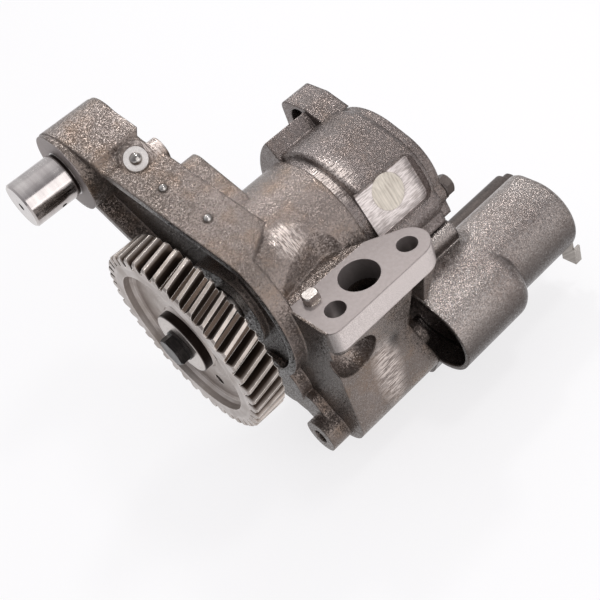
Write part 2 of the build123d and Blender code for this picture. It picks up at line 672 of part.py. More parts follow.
def rear_cover():
    body = cover_seat(-3)
    body = chamfer(body.faces().sort_by(Axis.X)[-1].edges(), 0.8)
    for at in COVER_BOLTS:
        body -= rod(REAR_END, COVER_END, M8[0], at)
    return body - rod(REAR_END, COVER_END, PILOT_R - 2, PILOT_AT)


def cover_bolts():
    return group(screw(M8, COVER_BOLT_LENGTH, facing_rear(COVER_END, at)) for at in COVER_BOLTS)


def housing_bolts():
    return group(screw(M8, JOINT_BOLT_LENGTH, facing_rear(JOINT + JOINT_EAR, at)) for at in JOINT_BOLTS)


def housing_dowels():
    return group(rod(JOINT - DOWEL_HALF, JOINT + DOWEL_HALF, DOWEL_R, at) for at in DOWELS)


def relief_valve_housing():
    # thin round wall, a lobe in front, a foot against the rear casting and a lug on the front one
    body = slab(RELIEF_FRONT, RELIEF_END, belt(disc(RELIEF_AT, RELIEF_R), disc((-62, -44), 14)))
    body = round_ends(body, RELIEF_END, 4)
    lobe = slab(RELIEF_FRONT, 190, belt(disc(RELIEF_AT, RELIEF_R), disc((-84, -62), 28)))
    body += round_ends(lobe, 190, 12)
    foot = belt(disc((RELIEF_JOINT_Y - 6, -26), 8), disc((RELIEF_JOINT_Y - 6, -96), 8))
    body += slab(RELIEF_FOOT_FRONT, RELIEF_FOOT_END, foot & rect(-90, RELIEF_JOINT_Y, -110, 0))
    behind_joint = block(JOINT, 190, RELIEF_JOINT_Y, -30, -130, 0)
    body -= behind_joint - rod(JOINT, 191, RELIEF_R + FIT / 2, RELIEF_AT)
    lug_end = JOINT + RELIEF_LUG_THICK
    body += slab(JOINT, lug_end, belt(disc(RELIEF_LUG, 12), disc((-72, -76), 14)))
    body -= rod(RELIEF_FRONT - 10, RELIEF_END + 1, RELIEF_BORE_R, RELIEF_AT)
    mouth = belt(disc(RELIEF_AT, RELIEF_R - RIM_WALL), disc((-84, -62), 28 - RIM_WALL))
    mouth &= rect(-120, RELIEF_JOINT_Y - 2, -120, 0)
    body -= slab(JOINT - 1, RELIEF_FRONT + MOUTH_DEPTH, mouth)
    for x in RING_PLACES:
        body -= rod(x, x + RING_WIRE, RELIEF_BORE_R + 1, RELIEF_AT)
    body -= rod(JOINT - 1, lug_end + 1, M8[0], RELIEF_LUG) + rod(lug_end, lug_end + 14, 8.5, RELIEF_LUG)
    body -= relief_port(GALLERY_AT[0], RELIEF_AT[0])
    for x in RELIEF_FOOT_BOLTS_X:
        body -= foot_hole(x, RELIEF_JOINT_Y + 12)
    return body


def relief_lug_bolt():
    return screw(M8, 30, facing_rear(JOINT + RELIEF_LUG_THICK, RELIEF_LUG))


def relief_foot_bolts():
    at = [Pos(x, RELIEF_JOINT_Y - 14, RELIEF_FOOT_BOLT_Z) * Rot(90, 0, 0) for x in RELIEF_FOOT_BOLTS_X]
    return group(screw(M8, 24, place) for place in at)


def relief_plunger():
    r = RELIEF_BORE_R - PLUNGER_GAP
    body = rod(PLUNGER_FRONT, PLUNGER_FRONT + PLUNGER_LENGTH, r, RELIEF_AT)
    body = chamfer(body.faces().filter_by(Axis.X).edges(), 0.8)
    hollow = rod(PLUNGER_FRONT + PLUNGER_WALL, PLUNGER_FRONT + PLUNGER_LENGTH, r - PLUNGER_WALL, RELIEF_AT)
    return body - hollow


def coil(x0, x1, r, wire_r, turns, at):
    # round wire, its two ends ground flat
    pitch = (x1 - x0) / turns
    path = Helix(pitch, pitch * (turns + 0.6), r)
    start = Plane(path @ 0, z_dir=path % 0)
    wire = sweep(start * Circle(wire_r), path)
    wire = Pos(x0 - 0.3 * pitch, at[0], at[1]) * Rot(0, 90, 0) * wire
    return wire & rod(x0, x1, r + 2 * wire_r, at)


def relief_spring():
    front = PLUNGER_FRONT + PLUNGER_WALL
    return coil(front, SEAT_FRONT, SPRING_R, SPRING_WIRE / 2, SPRING_TURNS, RELIEF_AT)


def relief_spring_seat():
    body = rod(SEAT_FRONT, RING_PLACES[1], RELIEF_BORE_R - 0.02, RELIEF_AT)
    return chamfer(body.faces().filter_by(Axis.X).edges(), 0.8)


def relief_snap_rings():
    rings = [rod(x, x + RING_WIRE, RELIEF_BORE_R + 0.9, RELIEF_AT)
             - rod(x, x + RING_WIRE, RELIEF_BORE_R - 1.6, RELIEF_AT)
             - block(x, x + RING_WIRE, RELIEF_AT[0], RELIEF_AT[0] + 40, RELIEF_AT[1] - 4, RELIEF_AT[1] + 4)
             for x in RING_PLACES]
    return group(rings)


def valve_lock_plate():
    # bent strip screwed over the end of the relief housing
    flat = block(RELIEF_END, RELIEF_END + 1.6, -94, -84, -100, -76)
    leg = block(RELIEF_END, RELIEF_END + 6, -95.6, -94, -100, -86)
    return flat + leg


def pilot_valve_body():
    body = rod(COVER_END, PILOT_END, PILOT_R, PILOT_AT)
    body += rod(REAR_END, COVER_END, PILOT_R - 2, PILOT_AT)
    return body - rod(PILOT_STOP, PILOT_END, PILOT_BORE_R, PILOT_AT)


def pilot_plunger():
    body = rod(PILOT_STOP, PILOT_STOP + 16, PILOT_BORE_R - RUNNING_GAP, PILOT_AT)
    return body - rod(PILOT_STOP + 4, PILOT_STOP + 16, PILOT_BORE_R - 1.6, PILOT_AT)


def pilot_spring():
    return coil(PILOT_STOP + 4, PILOT_END - 8, 3.4, 0.5, 9, PILOT_AT)


def pilot_valve_cap():
    body = rod(PILOT_END - 8, PILOT_END, PILOT_BORE_R, PILOT_AT)
    head = rod(PILOT_END, PILOT_END + 8, 7, PILOT_AT)
    return body + chamfer(head.faces().sort_by(Axis.X)[-1].edges(), 1.0)


def save(node, body):
    export_step(Pos(-PORT_X, -PORT_Y, -FLANGE_Z) * body, f"parts/{node}.step")


os.makedirs("parts", exist_ok=True)
save("front_housing", front_housing())
save("rear_housing", rear_housing())
save("rear_cover", rear_cover())
save("relief_valve_housing", relief_valve_housing())
save("idler_shaft", idler_shaft())
save("drive_gear", drive_gear())
save("drive_gear_washer", drive_gear_washer())
save("drive_gear_bolt", drive_gear_bolt())
save("drive_key", drive_key())
save("drive_shaft", drive_shaft())
save("driven_shaft", driven_shaft())
save("pump_drive_gear", pump_gear((0, 0), PUMP_ANGLE))
save("pump_driven_gear", pump_gear(DRIVEN, PUMP_ANGLE - 180 + 180 / PUMP_TEETH))
save("front_bushes", bushes(CHAMBER_FRONT - BUSH_LENGTH))
save("rear_bushes", bushes(JOINT))
save("arm_plug_ring", arm_plug_ring())
save("arm_plug_ball", arm_plug_ball())
save("arm_ball_plugs", arm_ball_plugs())
save("flange_pin", flange_pin())
save("pad_plug", pad_plug())
save("cover_bolts", cover_bolts())
save("housing_bolts", housing_bolts())
save("housing_dowels", housing_dowels())
save("relief_lug_bolt", relief_lug_bolt())
save("relief_foot_bolts", relief_foot_bolts())
save("relief_plunger", relief_plunger())
save("relief_spring", relief_spring())
save("relief_spring_seat", relief_spring_seat())
save("relief_snap_rings", relief_snap_rings())
save("valve_lock_plate", valve_lock_plate())
save("pilot_valve_body", pilot_valve_body())
save("pilot_plunger", pilot_plunger())
save("pilot_spring", pilot_spring())
save("pilot_valve_cap", pilot_valve_cap())
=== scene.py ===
import bpy
from mathutils import Matrix, Vector


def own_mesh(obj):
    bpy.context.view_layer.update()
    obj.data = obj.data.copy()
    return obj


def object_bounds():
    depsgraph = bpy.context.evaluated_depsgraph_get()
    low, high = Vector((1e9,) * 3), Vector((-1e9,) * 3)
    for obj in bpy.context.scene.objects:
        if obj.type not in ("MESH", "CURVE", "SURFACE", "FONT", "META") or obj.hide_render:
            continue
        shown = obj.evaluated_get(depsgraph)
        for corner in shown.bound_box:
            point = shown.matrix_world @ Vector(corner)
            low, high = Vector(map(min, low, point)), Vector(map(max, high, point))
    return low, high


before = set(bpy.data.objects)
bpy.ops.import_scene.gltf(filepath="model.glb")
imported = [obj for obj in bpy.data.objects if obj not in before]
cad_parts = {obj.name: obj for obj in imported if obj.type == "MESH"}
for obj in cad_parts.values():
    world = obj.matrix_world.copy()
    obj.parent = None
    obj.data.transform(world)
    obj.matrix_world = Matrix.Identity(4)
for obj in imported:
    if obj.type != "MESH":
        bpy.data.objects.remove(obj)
cad_low, cad_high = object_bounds()


# ---- Castings: front housing, rear housing, rear cover, relief valve housing ----
# Grey iron, cast in sand moulds and shot blasted, which leaves a warm grey grain, with painted
# glints. The outlet flange and the seats are milled, and high spots are ground off by hand. The
# hollows behind the gear, the outlet port and the valve housing's lower faces get painted shade.
GRAIN = 0.0008                    # sand grain 0.4 mm, drawn at 0.8 mm so that it shows
ROUNDING = 0.0022                 # rounding of a cast edge
SHARP = 0.0005                    # and of a milled or ground one
SHAFT_Y, SHAFT_Z = 0.0713, -0.016
IDLER_Y, IDLER_Z = 0.173, 0.0657


def linear(colour):
    """sRGB hex text to the linear RGBA that a shader reads."""
    channels = [int(colour[i:i + 2], 16) / 255 for i in (1, 3, 5)]
    return [c / 12.92 if c <= 0.04045 else ((c + 0.055) / 1.055) ** 2.4 for c in channels] + [1.0]


def add(tree, kind, inputs=None, **settings):
    """Adds a node. An input is a number, a colour, a node, or a node with its output's name."""
    made = tree.nodes.new(kind)
    for name, value in settings.items():
        setattr(made, name, value)
    for key, value in (inputs or {}).items():
        if isinstance(key, int):
            socket = made.inputs[key]
        else:
            socket = next(s for s in made.inputs if s.name == key and s.enabled)
        if isinstance(value, bpy.types.Node):
            value = (value, next(s.name for s in value.outputs if s.enabled))
        if isinstance(value, tuple) and isinstance(value[0], bpy.types.Node):
            output = next(s for s in value[0].outputs if s.name == value[1] and s.enabled)
            tree.links.new(output, socket)
        else:
            socket.default_value = linear(value) if isinstance(value, str) else value
    return made


def finish_named(name):
    """A new material: its node tree and its shader."""
    material = bpy.data.materials.new(name)
    material.use_nodes = True
    return material, material.node_tree, material.node_tree.nodes["Principled BSDF"]


def give(material, *nodes):
    """Puts the material on the whole of each named node."""
    for name in nodes:
        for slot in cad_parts[name].material_slots:
            slot.material = material


def patch(tree, place, centre, reach, edge=0.35):
    """1 inside an ellipsoid about centre and 0 outside it; reach is its three half lengths."""
    moved = add(tree, "ShaderNodeVectorMath", {0: place, 1: centre}, operation="SUBTRACT")
    scaled = add(tree, "ShaderNodeVectorMath", {0: moved, 1: reach}, operation="DIVIDE")
    far = add(tree, "ShaderNodeVectorMath", {0: scaled}, operation="LENGTH")
    return add(tree, "ShaderNodeMapRange",
               {"Value": (far, "Value"), "From Min": 1.0 + edge, "From Max": 1.0 - edge})


def boxed(tree, place, centre, reach, tilt=0.0):
    """1 inside a box about centre and 0 outside; it is turned by tilt radians about X."""
    moved = add(tree, "ShaderNodeVectorMath", {0: place, 1: centre}, operation="SUBTRACT")
    turned = add(tree, "ShaderNodeVectorRotate", {"Vector": moved, "Angle": tilt},
                 rotation_type="X_AXIS")
    away = add(tree, "ShaderNodeVectorMath", {0: turned}, operation="ABSOLUTE")
    over = add(tree, "ShaderNodeVectorMath", {0: away, 1: reach}, operation="SUBTRACT")
    parts = add(tree, "ShaderNodeSeparateXYZ", {0: over})
    most = add(tree, "ShaderNodeMath", {0: (parts, "X"), 1: (parts, "Y")}, operation="MAXIMUM")
    most = add(tree, "ShaderNodeMath", {0: most, 1: (parts, "Z")}, operation="MAXIMUM")
    return add(tree, "ShaderNodeMapRange",
               {"Value": most, "From Min": 0.0004, "From Max": -0.0004})


def either(tree, masks):
    """The largest of several masks."""
    found = masks[0]
    for mask in masks[1:]:
        found = add(tree, "ShaderNodeMath", {0: found, 1: mask}, operation="MAXIMUM")
    return found


def sand_cast_iron(name, low, high, pits_and_painted_glint, rust, ground=(), milled=(), dark=(),
                   shaded_place=None, gloss=0.0, underside_shade=0.0):
    """Cast skin between two greys. A place is a centre and a reach; the rest are shares.

    A ground place has the scale of its scratches after its reach, and a tilt where boxed.
    The dark places, and within the shaded place the faces that look forward, get painted shade.
    gloss is how oily the skin is; the last share darkens the lower faces as painted shade.
    """
    material, tree, shader = finish_named(name)
    place = (add(tree, "ShaderNodeTexCoord"), "Object")
    # cloudy patches 45 mm across, rust spots 16 mm across, and the grain
    wide = add(tree, "ShaderNodeTexNoise", {"Vector": place, "Scale": 22.0, "Detail": 3.0})
    rusty = add(tree, "ShaderNodeTexNoise", {"Vector": place, "Scale": 61.0, "Detail": 4.0})
    grain = add(tree, "ShaderNodeTexNoise",
                {"Vector": place, "Scale": 1.0 / GRAIN, "Detail": 4.0, "Roughness": 0.65})
    wide_share = add(tree, "ShaderNodeMapRange",
                     {"Value": wide, "From Min": 0.35, "From Max": 0.65})
    rust_share = add(tree, "ShaderNodeMapRange",
                     {"Value": rusty, "From Min": 0.5, "From Max": 0.72, "To Max": rust})
    grain_share = add(tree, "ShaderNodeMapRange",
                      {"Value": grain, "From Min": 0.38, "From Max": 0.6})
    skin = add(tree, "ShaderNodeMix", {"Factor": wide_share, "A": low, "B": high},
               data_type="RGBA")
    skin = add(tree, "ShaderNodeMix", {"Factor": rust_share, "A": skin, "B": "#866b52"},
               data_type="RGBA")
    pits = add(tree, "ShaderNodeMix", {"Factor": 0.35 + 0.35 * pits_and_painted_glint, "A": skin, "B": "#453d39"},
               data_type="RGBA")
    skin = add(tree, "ShaderNodeMix", {"Factor": grain_share, "A": pits, "B": skin},
               data_type="RGBA")
    # every blasted grain is a small facet with a lean of its own; some are painted pale as glints
    facets = add(tree, "ShaderNodeTexVoronoi", {"Vector": place, "Scale": 1.0 / GRAIN})
    painted_glint = add(tree, "ShaderNodeSeparateXYZ", {0: (facets, "Color")})
    painted_glint = add(tree, "ShaderNodeMapRange",
                 {"Value": (painted_glint, "X"), "From Min": 0.65, "To Max": 0.4 * pits_and_painted_glint})
    colour = add(tree, "ShaderNodeMix", {"Factor": painted_glint, "A": skin, "B": "#ddd6d2"},
                 data_type="RGBA")
    smooth = None
    if milled:
        # a milled face has a matt bloom, 2.4 mm across
        fine = add(tree, "ShaderNodeTexNoise", {"Vector": place, "Scale": 420.0, "Detail": 3.0})
        pale = add(tree, "ShaderNodeMix", {"Factor": fine, "A": "#8b8280", "B": "#a09794"},
                   data_type="RGBA")
        smooth = either(tree, [boxed(tree, place, *item) for item in milled])
        colour = add(tree, "ShaderNodeMix", {"Factor": smooth, "A": colour, "B": pale},
                     data_type="RGBA")
    for centre, reach, scale, *tilt in ground:
        # a grinder leaves short pale scratches; a hand-held one skips skin between them
        along = add(tree, "ShaderNodeMapping", {"Vector": place, "Scale": scale})
        streaks = add(tree, "ShaderNodeTexNoise", {"Vector": along, "Scale": 1.0, "Detail": 2.0})
        share = add(tree, "ShaderNodeMapRange",
                    {"Value": streaks, "From Min": 0.36, "From Max": 0.6})
        # boxed places are paler; on the flange's sides the paleness is partly painted light
        dull, bare = ("#b0a6a2", "#e0d7d4") if tilt else ("#968983", "#d4c8c1")
        bared = add(tree, "ShaderNodeMix", {"Factor": share, "A": dull, "B": bare},
                    data_type="RGBA")
        if tilt:
            spot = boxed(tree, place, centre, reach, *tilt)
        else:
            ragged = add(tree, "ShaderNodeMapRange",
                         {"Value": streaks, "From Min": 0.38, "From Max": 0.56, "To Min": 0.1})
            spot = patch(tree, place, centre, reach, 0.45)
            spot = add(tree, "ShaderNodeMath", {0: spot, 1: ragged}, operation="MULTIPLY")
        colour = add(tree, "ShaderNodeMix", {"Factor": spot, "A": colour, "B": bared},
                     data_type="RGBA")
        smooth = either(tree, [smooth, spot]) if smooth else spot
    # painted shade: behind the gear, the faces that look forward are darkened
    if shaded_place:
        outward = add(tree, "ShaderNodeNewGeometry")
        outward = add(tree, "ShaderNodeSeparateXYZ", {0: (outward, "Normal")})
        forward = add(tree, "ShaderNodeMapRange",
                      {"Value": (outward, "X"), "From Min": -0.2, "From Max": -0.7, "To Max": 0.8})
        gear_shade = add(tree, "ShaderNodeMath", {0: patch(tree, place, *shaded_place), 1: forward},
                   operation="MULTIPLY")
        colour = add(tree, "ShaderNodeMix", {"Factor": gear_shade, "A": colour, "B": "#2d2926"},
                     data_type="RGBA")
    # painted shade: the lower faces are darker
    if underside_shade:
        below = add(tree, "ShaderNodeNewGeometry")
        below = add(tree, "ShaderNodeSeparateXYZ", {0: (below, "Normal")})
        below = add(tree, "ShaderNodeMapRange",
                    {"Value": (below, "Z"), "From Min": 0.75, "From Max": 0.0, "To Max": underside_shade})
        colour = add(tree, "ShaderNodeMix", {"Factor": below, "A": colour, "B": "#453e3b"},
                     data_type="RGBA")
    # painted shade: these places are painted near black
    if dark:
        port_shade = either(tree, [patch(tree, place, c, r, 0.08) for c, r in dark])
        colour = add(tree, "ShaderNodeMix", {"Factor": port_shade, "A": colour, "B": "#181514"},
                     data_type="RGBA")
    tree.links.new(colour.outputs[2], shader.inputs["Base Color"])
    rough = add(tree, "ShaderNodeMapRange",
                {"Value": grain_share, "To Min": 0.38 - 0.1 * gloss,
                 "To Max": 0.22 - 0.04 * gloss})
    if smooth:
        worn = add(tree, "ShaderNodeMath", {0: smooth, 1: 0.5}, operation="MULTIPLY")
        rough = add(tree, "ShaderNodeMath", {0: rough, 1: worn}, operation="MAXIMUM")
    tree.links.new(rough.outputs[0], shader.inputs["Roughness"])
    shader.inputs["Metallic"].default_value = 0.65 + 0.25 * gloss
    lean = add(tree, "ShaderNodeVectorMath", {0: (facets, "Color"), 1: (0.5, 0.5, 0.5)},
               operation="SUBTRACT")
    amount, strength, radius = 0.5 - 0.25 * gloss, 0.5 + 0.2 * gloss, ROUNDING
    if smooth:
        amount = add(tree, "ShaderNodeMapRange", {"Value": smooth, "To Min": 0.4, "To Max": 0.06})
        strength = add(tree, "ShaderNodeMapRange", {"Value": smooth, "To Min": 0.5, "To Max": 0.1})
        radius = add(tree, "ShaderNodeMapRange",
                     {"Value": smooth, "To Min": ROUNDING, "To Max": SHARP})
    lean = add(tree, "ShaderNodeVectorMath", {0: lean, "Scale": amount}, operation="SCALE")
    edges = add(tree, "ShaderNodeBevel", {"Radius": radius}, samples=6)
    leaning = add(tree, "ShaderNodeVectorMath", {0: edges, 1: lean}, operation="ADD")
    leaning = add(tree, "ShaderNodeVectorMath", {0: leaning}, operation="NORMALIZE")
    bump = add(tree, "ShaderNodeBump",
               {"Strength": strength, "Distance": 0.0003, "Height": grain, "Normal": leaning})
    tree.links.new(bump.outputs[0], shader.inputs["Normal"])
    return material


ACROSS = (1300.0, 170.0, 170.0)   # scratches 0.8 mm wide, 6 mm long, square to the shaft
ALONG = (170.0, 1300.0, 1300.0)   # the same, along the shaft
FINE = (2500.0, 2500.0, 2500.0)   # the even bloom of a fine file, 0.4 mm across
PAD_TILT = -1.138                 # turn of the milled pad's face about the shaft, radians

front_ground = [
    ((-0.022, 0.150, 0.0885), (0.010, 0.011, 0.012), ACROSS),          # end of the arm
    ((-0.032, 0.124, 0.0765), (0.013, 0.007, 0.008), ACROSS),          # ridge by the plug
    ((-0.014, 0.0405, 0.020), (0.009, 0.010, 0.010), ACROSS),          # web behind the gear
    ((-0.0105, -0.0127, -0.070), (0.009, 0.006, 0.026), ALONG),        # side wall
    # the flange's sides: a filed finish, painted paler than the milled top as painted light from
    # the front
    ((0.0035, -0.029, -0.0088), (0.055, 0.010, 0.0079), FINE, 0.0),    # flange, long side
    ((-0.0397, -0.0073, -0.0088), (0.0033, 0.025, 0.0079), FINE, 0.0)]  # flange, near end
front_milled = [((0.008, -0.0073, -0.008), (0.0505, 0.025, 0.0086)),     # outlet flange
                ((-0.0745, IDLER_Y, IDLER_Z), (0.001, 0.0262, 0.0262))]  # idler's thrust face
# painted shade inside the outlet port
front_port_shade = [((0.0, 0.0, -0.036), (0.0139, 0.0139, 0.042))]             # outlet port
# painted shade on the faces behind the gear
front_gear_shade = ((-0.050, SHAFT_Y, SHAFT_Z), (0.060, 0.110, 0.110))       # round the gear
give(sand_cast_iron("sand cast iron, front housing", "#71665f", "#867a74", 0.3, 0.45,
                    front_ground, front_milled, front_port_shade, front_gear_shade, gloss=0.25),
     "front_housing")

rear_ground = [
    ((0.034, 0.050, 0.027), (0.011, 0.014, 0.014), ALONG),                  # top of the neck
    ((0.0585, 0.0267, 0.0005), (0.0235, 0.0175, 0.0008), ALONG, PAD_TILT)]  # milled pad
give(sand_cast_iron("sand cast iron, rear housing", "#6b615d", "#7e7471", 0.5, 0.2,
                    rear_ground, gloss=0.35), "rear_housing", "rear_cover")
# the valve housing's lower faces get painted shade
give(sand_cast_iron("sand cast iron, valve housing", "#968b86", "#aca39e", 1.0, 0.06,
                    gloss=1.0, underside_shade=0.9), "relief_valve_housing")


# ---- Idler shaft ----
# Case-hardened steel, ground and polished, pressed in the arm. The polish mirrors what is
# round it in long bands, broken by faint rings left by the wheel.
def turning(tree, place, centre):
    """The way along an axis, which runs along X through centre, and the radius, as X and Y."""
    moved = add(tree, "ShaderNodeVectorMath", {0: place, 1: centre}, operation="SUBTRACT")
    across = add(tree, "ShaderNodeVectorMath", {0: moved, 1: (0.0, 1.0, 1.0)},
                 operation="MULTIPLY")
    radius = add(tree, "ShaderNodeVectorMath", {0: across}, operation="LENGTH")
    along = add(tree, "ShaderNodeSeparateXYZ", {0: place})
    return add(tree, "ShaderNodeCombineXYZ", {0: (along, "X"), 1: (radius, "Value")})


def turned_steel(name, low, high, roughness, centre, ring=0.0008, bump=0.00002, metal=1.0,
                 oil_and_painted_shade=None):
    """Steel with faint rings about an axis along X through centre, ring metres apart.

    The last argument takes the tree and the place, and gives the share of dark painted shade
    there.
    """
    material, tree, shader = finish_named(name)
    place = (add(tree, "ShaderNodeTexCoord"), "Object")
    reach = turning(tree, place, centre)
    rings = add(tree, "ShaderNodeTexNoise", {"Vector": reach, "Scale": 1.0 / ring, "Detail": 2.0})
    # handling leaves a faint cloud, 11 mm across
    cloud = add(tree, "ShaderNodeTexNoise", {"Vector": place, "Scale": 90.0, "Detail": 4.0})
    share = add(tree, "ShaderNodeMath", {0: rings, 1: cloud}, operation="ADD")
    share = add(tree, "ShaderNodeMath", {0: share, 1: 0.5}, operation="SUBTRACT")
    share = add(tree, "ShaderNodeMapRange", {"Value": share, "From Min": 0.25, "From Max": 0.75})
    colour = add(tree, "ShaderNodeMix", {"Factor": share, "A": low, "B": high}, data_type="RGBA")
    # painted shade, in dark brown, where the last argument gives it
    if oil_and_painted_shade:
        colour = add(tree, "ShaderNodeMix",
                     {"Factor": oil_and_painted_shade(tree, place), "A": colour, "B": "#2e2724"},
                     data_type="RGBA")
    tree.links.new(colour.outputs[2], shader.inputs["Base Color"])
    rough = add(tree, "ShaderNodeMapRange",
                {"Value": cloud, "From Min": 0.3, "From Max": 0.7, "To Min": roughness,
                 "To Max": roughness * 1.5})
    tree.links.new(rough.outputs[0], shader.inputs["Roughness"])
    shader.inputs["Metallic"].default_value = metal
    edges = add(tree, "ShaderNodeBevel", {"Radius": 0.0004}, samples=4)
    relief = add(tree, "ShaderNodeBump",
                 {"Strength": 0.5, "Distance": bump, "Height": rings, "Normal": edges})
    tree.links.new(relief.outputs[0], shader.inputs["Normal"])
    return material


def groove_shade(tree, place):
    """1 in the relief groove where the journal meets the arm, which gets painted shade."""
    return boxed(tree, place, (-0.0752, IDLER_Y, IDLER_Z), (0.0011, 0.02, 0.02))


give(turned_steel("polished case-hardened steel", "#b3acaa", "#c6c0bd", 0.13,
                  (0.0, IDLER_Y, IDLER_Z), ring=0.003, bump=0.000005, oil_and_painted_shade=groove_shade),
     "idler_shaft")


# ---- Drive gear, its washer and bolt ----
# Alloy steel gear, hobbed and ground: pale worn lands, edges pale as wear and painted highlight,
# brown oil on the flanks, and a dished face turned on a lathe. A ground washer and a blackened
# bolt hold it.
TEETH_FRONT = -0.0936             # X where the oil starts behind the front face
RIM_R = 0.0575                    # the oil lies outside this radius
LAND_R = 0.0678                   # and fades out towards the teeth's lands
WASHER_R = 0.0215
on_shaft = (0.0, SHAFT_Y, SHAFT_Z)

material, tree, shader = finish_named("ground alloy steel, oily gaps")
place = (add(tree, "ShaderNodeTexCoord"), "Object")
reach = turning(tree, place, on_shaft)
parts = add(tree, "ShaderNodeSeparateXYZ", {0: reach})
# rings 1.1 mm apart from the lathe, and oil stains 14 mm across
lathe = add(tree, "ShaderNodeTexNoise", {"Vector": reach, "Scale": 900.0, "Detail": 2.0})
stain = add(tree, "ShaderNodeTexNoise", {"Vector": place, "Scale": 70.0, "Detail": 5.0})
stain_share = add(tree, "ShaderNodeMapRange", {"Value": stain, "From Min": 0.42, "From Max": 0.68})
lathe_share = add(tree, "ShaderNodeMapRange", {"Value": lathe, "From Min": 0.35, "From Max": 0.65})
bright = add(tree, "ShaderNodeMix", {"Factor": lathe_share, "A": "#a19893", "B": "#bab2ad"},
             data_type="RGBA")
bright = add(tree, "ShaderNodeMix", {"Factor": stain_share, "A": bright, "B": "#9c928b"},
             data_type="RGBA")
gap = add(tree, "ShaderNodeMapRange",
          {"Value": (parts, "Y"), "From Min": LAND_R, "From Max": LAND_R - 0.0018})
rim = add(tree, "ShaderNodeMapRange",
          {"Value": (parts, "Y"), "From Min": RIM_R, "From Max": RIM_R + 0.001})
behind_face = add(tree, "ShaderNodeMapRange",
                  {"Value": (parts, "X"), "From Min": TEETH_FRONT,
                   "From Max": TEETH_FRONT + 0.001})
oil_and_painted_shade = add(tree, "ShaderNodeMath", {0: gap, 1: behind_face}, operation="MULTIPLY")
oil_and_painted_shade = add(tree, "ShaderNodeMath", {0: oil_and_painted_shade, 1: rim}, operation="MULTIPLY")
toothed = add(tree, "ShaderNodeMath", {0: behind_face, 1: rim}, operation="MULTIPLY")
worn = add(tree, "ShaderNodeMix", {"Factor": stain_share, "A": "#aca29b", "B": "#887e76"},
           data_type="RGBA")
colour = add(tree, "ShaderNodeMix", {"Factor": toothed, "A": bright, "B": worn}, data_type="RGBA")
colour = add(tree, "ShaderNodeMix", {"Factor": oil_and_painted_shade, "A": colour, "B": "#4b3f37"}, data_type="RGBA")
# edges, pale as wear and painted highlight, are where the bevelled normal leaves the face's own
edges = add(tree, "ShaderNodeBevel", {"Radius": 0.0006}, samples=6)
flat = add(tree, "ShaderNodeNewGeometry")
apart = add(tree, "ShaderNodeVectorMath", {0: edges, 1: (flat, "True Normal")},
            operation="DOT_PRODUCT")
wear_and_painted_highlight = add(tree, "ShaderNodeMapRange",
             {"Value": (apart, "Value"), "From Min": 0.99, "From Max": 0.9, "To Max": 0.9})
colour = add(tree, "ShaderNodeMix", {"Factor": wear_and_painted_highlight, "A": colour, "B": "#e6e0da"},
             data_type="RGBA")
tree.links.new(colour.outputs[2], shader.inputs["Base Color"])
rough = add(tree, "ShaderNodeMapRange", {"Value": stain_share, "To Min": 0.3, "To Max": 0.45})
tree.links.new(rough.outputs[0], shader.inputs["Roughness"])
shader.inputs["Metallic"].default_value = 0.9
relief = add(tree, "ShaderNodeBump",
             {"Strength": 0.4, "Distance": 0.00003, "Height": lathe, "Normal": edges})
tree.links.new(relief.outputs[0], shader.inputs["Normal"])
give(material, "drive_gear")


def washer_side_shade(tree, place):
    """1 on the side of the washer, which gets painted shade, and 0 on its face; at 9 m long, only
    its radius counts.
    """
    face = patch(tree, place, on_shaft, (9.0, WASHER_R, WASHER_R), 0.01)
    return add(tree, "ShaderNodeMath", {0: 1.0, 1: face}, operation="SUBTRACT")


give(turned_steel("ground steel, painted shade on its side", "#aca49f", "#cac3be", 0.25, on_shaft,
                  oil_and_painted_shade=washer_side_shade), "drive_gear_washer")
give(turned_steel("ground steel", "#a49b95", "#cfc8c3", 0.22, on_shaft),
     "drive_key", "drive_shaft", "driven_shaft", "housing_dowels", "relief_plunger",
     "relief_spring_seat", "pilot_plunger", "flange_pin")
give(turned_steel("black oxide steel", "#1d1b1b", "#383433", 0.28, on_shaft, metal=0.8),
     "drive_gear_bolt")


# ---- Pump gears and bushes ----
# The two meshing gears are carburised steel, ground all over; they run in bored bronze
# bushes. Both are wet with oil, so they are smooth and a little dark.
give(turned_steel("carburised gear steel", "#77706b", "#a39b95", 0.2, on_shaft),
     "pump_drive_gear", "pump_driven_gear")
give(turned_steel("bored bronze", "#8a6238", "#b98d55", 0.25, on_shaft),
     "front_bushes", "rear_bushes")


# ---- Plugs in the castings ----
# Steel balls are driven into the ends of the oil drillings, the largest in a spot-faced seat,
# and a flush iron plug is pressed in the milled pad. The balls shine, and the freshly cut
# iron is pale.
give(turned_steel("bright ball steel", "#8b8682", "#c9c5c1", 0.12, on_shaft, ring=0.004),
     "arm_plug_ball", "arm_ball_plugs")
give(turned_steel("spot-faced iron", "#cbc5c1", "#e6e1dd", 0.4, on_shaft, metal=0.4),
     "arm_plug_ring")
give(turned_steel("milled iron plug", "#a29a90", "#cfc7bc", 0.35, on_shaft, ring=0.0012),
     "pad_plug")


